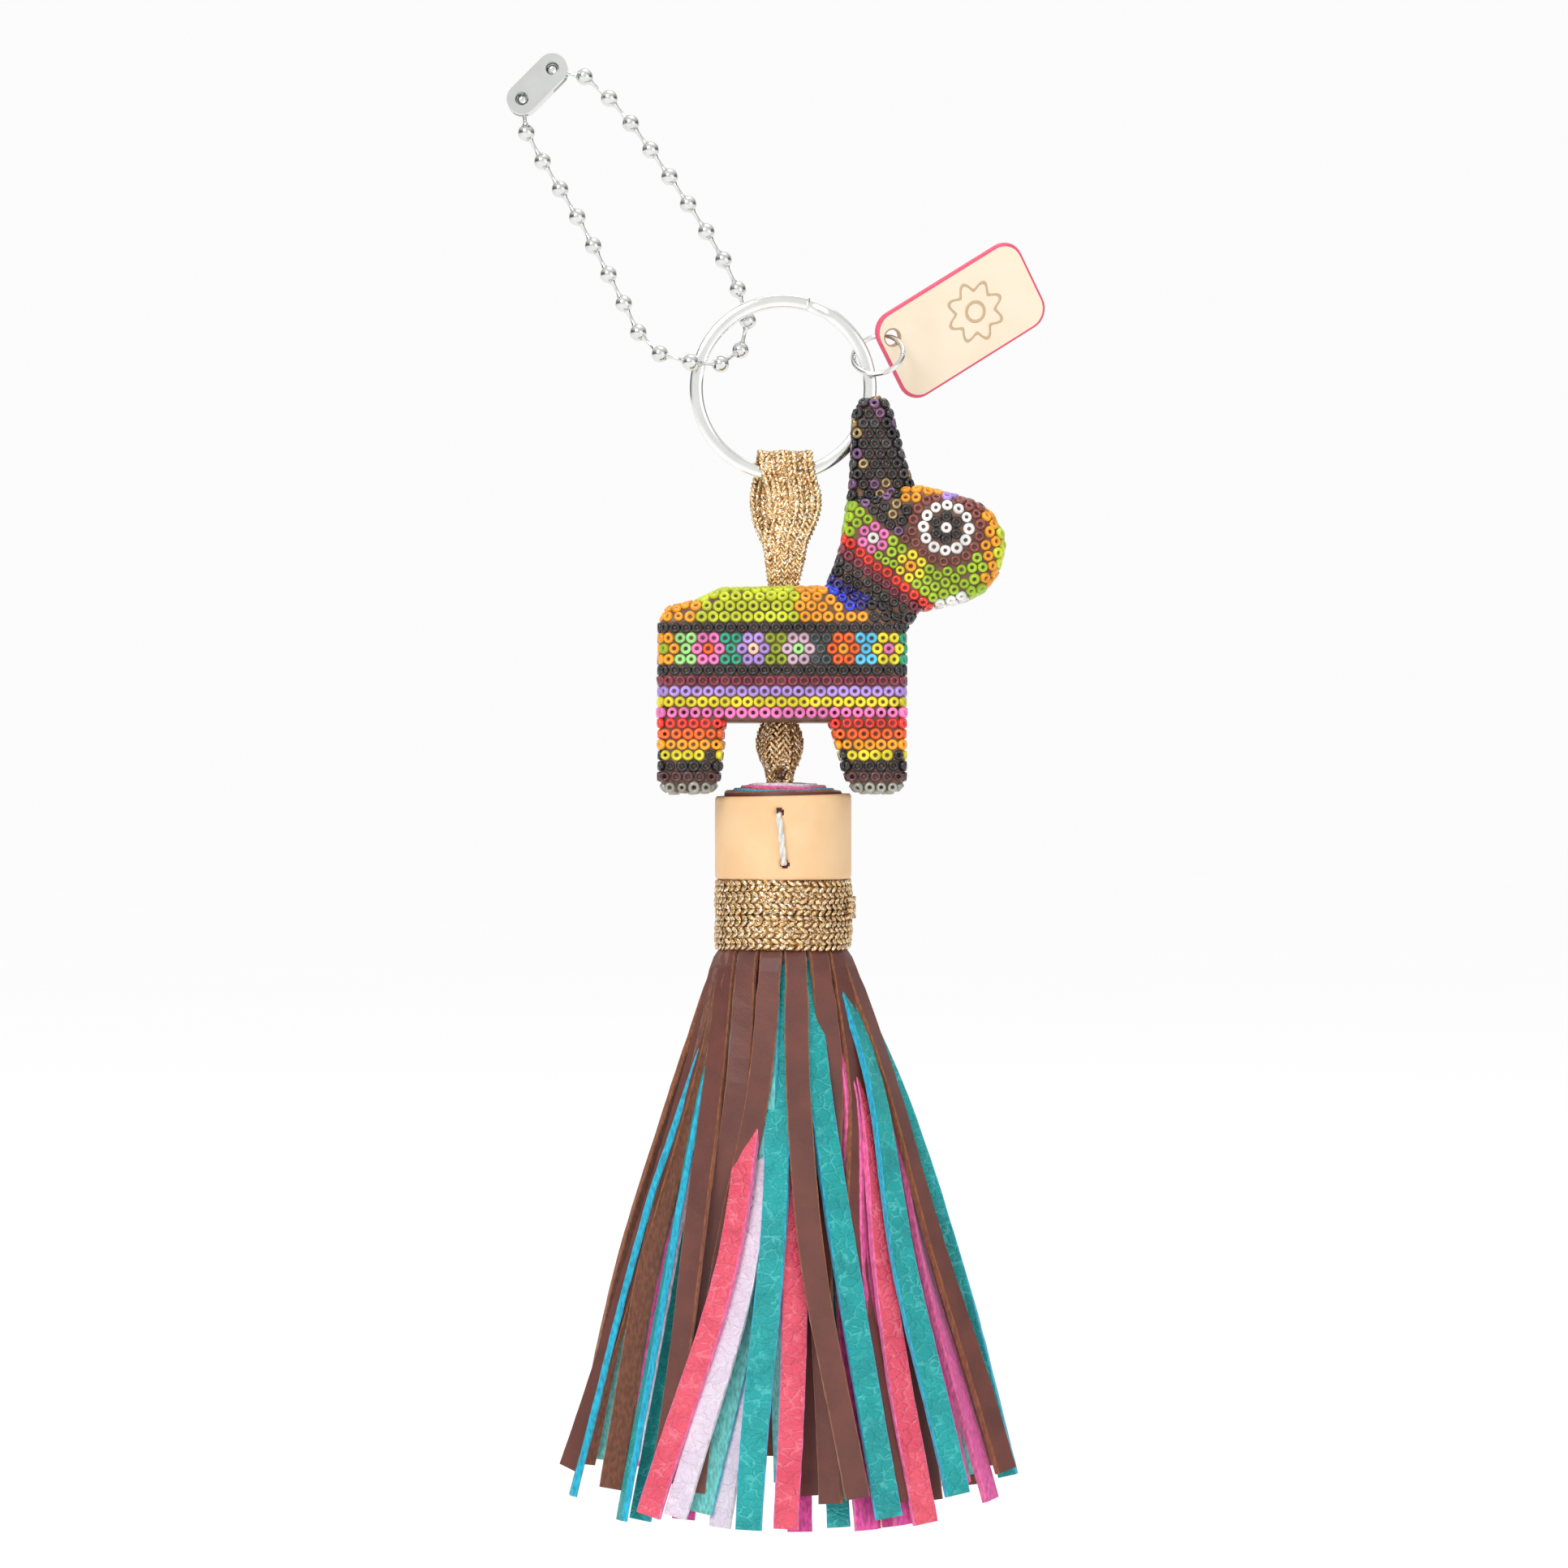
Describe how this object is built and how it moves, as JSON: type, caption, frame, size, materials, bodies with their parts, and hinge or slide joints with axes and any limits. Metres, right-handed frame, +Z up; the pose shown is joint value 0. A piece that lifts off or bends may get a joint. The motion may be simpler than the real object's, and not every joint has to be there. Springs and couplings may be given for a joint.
{
  "type": "pinata key charm",
  "caption": "Beaded donkey pinata charm hung by a gold braid from a split ring, with a leather fringe tassel below, a loop of ball chain and a small leather tag",
  "frame": {"origin": "centre of the split ring, in the middle of its thickness", "axes": "+Z up as the charm hangs, +X towards the donkey's muzzle, the side that is seen first faces -Y"},
  "size_m": [0.093, 0.0486, 0.2481],
  "materials": {
    "ring_steel": "polished plated steel",
    "chain_metal": "polished plated brass",
    "tag_leather": "undyed leather, smooth, pink painted edge",
    "gold_braid": "metallic gold braid with chevron ribs",
    "carved_core": "carved core under brown wax",
    "seed_beads": "glossy opaque glass seed beads set in wax, many colours",
    "cap_leather": "natural leather, smooth, raw edges",
    "stitch_thread": "thick white waxed thread",
    "brown_leather": "brown grain, orange-brown suede back and edges",
    "teal_leather": "teal pebble grain, pale teal suede back",
    "coral_leather": "coral pebble grain, magenta suede back",
    "lilac_leather": "pale lilac smooth leather"
  },
  "bodies": {
    "key_ring": {"split_ring": "ring_steel"},
    "chain_runner": {"chain_balls_runner": "chain_metal", "chain_links_runner": "chain_metal"},
    "chain_strands": {"chain_balls_right": "chain_metal", "chain_balls_left": "chain_metal", "chain_links_right": "chain_metal", "chain_links_left": "chain_metal"},
    "chain_end": {"chain_connector": "chain_metal"},
    "jump_link": {"jump_ring": "ring_steel"},
    "name_tag": {"leather_tag": "tag_leather"},
    "hanger": {"ribbon_loop": "gold_braid"},
    "donkey": {"figure_core": "carved_core", "beads_body": "seed_beads", "beads_back": "seed_beads", "beads_neck": "seed_beads", "beads_head": "seed_beads", "beads_ears": "seed_beads", "beads_eyes": "seed_beads", "beads_leg_front_near": "seed_beads", "beads_leg_front_far": "seed_beads", "beads_leg_hind_near": "seed_beads", "beads_leg_hind_far": "seed_beads", "ribbon_core": "gold_braid"},
    "tassel_neck": {"ribbon_neck": "gold_braid"},
    "tassel_head": {"ribbon_knot": "gold_braid", "brown_roll": "brown_leather", "teal_roll": "teal_leather", "coral_roll": "coral_leather", "lilac_roll": "lilac_leather", "leather_cap": "cap_leather", "stitch_thread": "stitch_thread", "binding_turn_upper": "gold_braid", "binding_turn_lower": "gold_braid", "binding_end": "gold_braid"},
    "front_fringe": {"brown_fringe_front": "brown_leather", "teal_fringe_front": "teal_leather", "coral_fringe_front": "coral_leather", "lilac_fringe_front": "lilac_leather"},
    "back_fringe": {"brown_fringe_back": "brown_leather", "teal_fringe_back": "teal_leather", "coral_fringe_back": "coral_leather", "lilac_fringe_back": "lilac_leather"}
  },
  "joints": [
    {"name": "chain_slide", "type": "hinge", "parent": "key_ring", "child": "chain_runner", "pos_m": [0, 0, 0], "axis": [0, 1, 0], "range_deg": [-10, 50]},
    {"name": "chain_flop", "type": "hinge", "parent": "chain_runner", "child": "chain_strands", "pos_m": [-0.00697, 0.0027, 0.01452], "axis": [-0.4649, -0.4138, -0.7827], "range_deg": [-7, 7]},
    {"name": "chain_unclip", "type": "hinge", "parent": "chain_strands", "child": "chain_end", "pos_m": [-0.0447, 0, 0.0493], "axis": [0, 1, 0], "range_deg": [-35, 0]},
    {"name": "jump_ring_slide", "type": "hinge", "parent": "key_ring", "child": "jump_link", "pos_m": [0, 0, 0], "axis": [0, 1, 0], "range_deg": [-55, 10]},
    {"name": "tag_swing", "type": "hinge", "parent": "jump_link", "child": "name_tag", "pos_m": [0.01858, 0.00178, 0.00892], "axis": [-0.8249, 0.4575, 0.3319], "range_deg": [-12, 30]},
    {"name": "figure_swing", "type": "hinge", "parent": "key_ring", "child": "hanger", "pos_m": [0, 0, -0.0149], "axis": [1, 0, 0], "range_deg": [-3, 30]},
    {"name": "figure_swivel", "type": "hinge", "parent": "hanger", "child": "donkey", "pos_m": [0, -0.0065, -0.034], "axis": [0, 0, 1], "range_deg": [-180, 0]},
    {"name": "tassel_swing", "type": "hinge", "parent": "donkey", "child": "tassel_neck", "pos_m": [0, -0.0065, -0.0575], "axis": [1, 0, 0], "range_deg": [-12, 12]},
    {"name": "tassel_twist", "type": "hinge", "parent": "tassel_neck", "child": "tassel_head", "pos_m": [0, -0.0065, -0.0672], "axis": [0, 0, 1], "range_deg": [-60, 60]},
    {"name": "fringe_front_swing", "type": "hinge", "parent": "tassel_head", "child": "front_fringe", "pos_m": [0, -0.0168, -0.0962], "axis": [1, 0, 0], "range_deg": [-15, 0]},
    {"name": "fringe_back_swing", "type": "hinge", "parent": "tassel_head", "child": "back_fringe", "pos_m": [0, 0.0038, -0.0962], "axis": [1, 0, 0], "range_deg": [0, 15]}
  ]
}
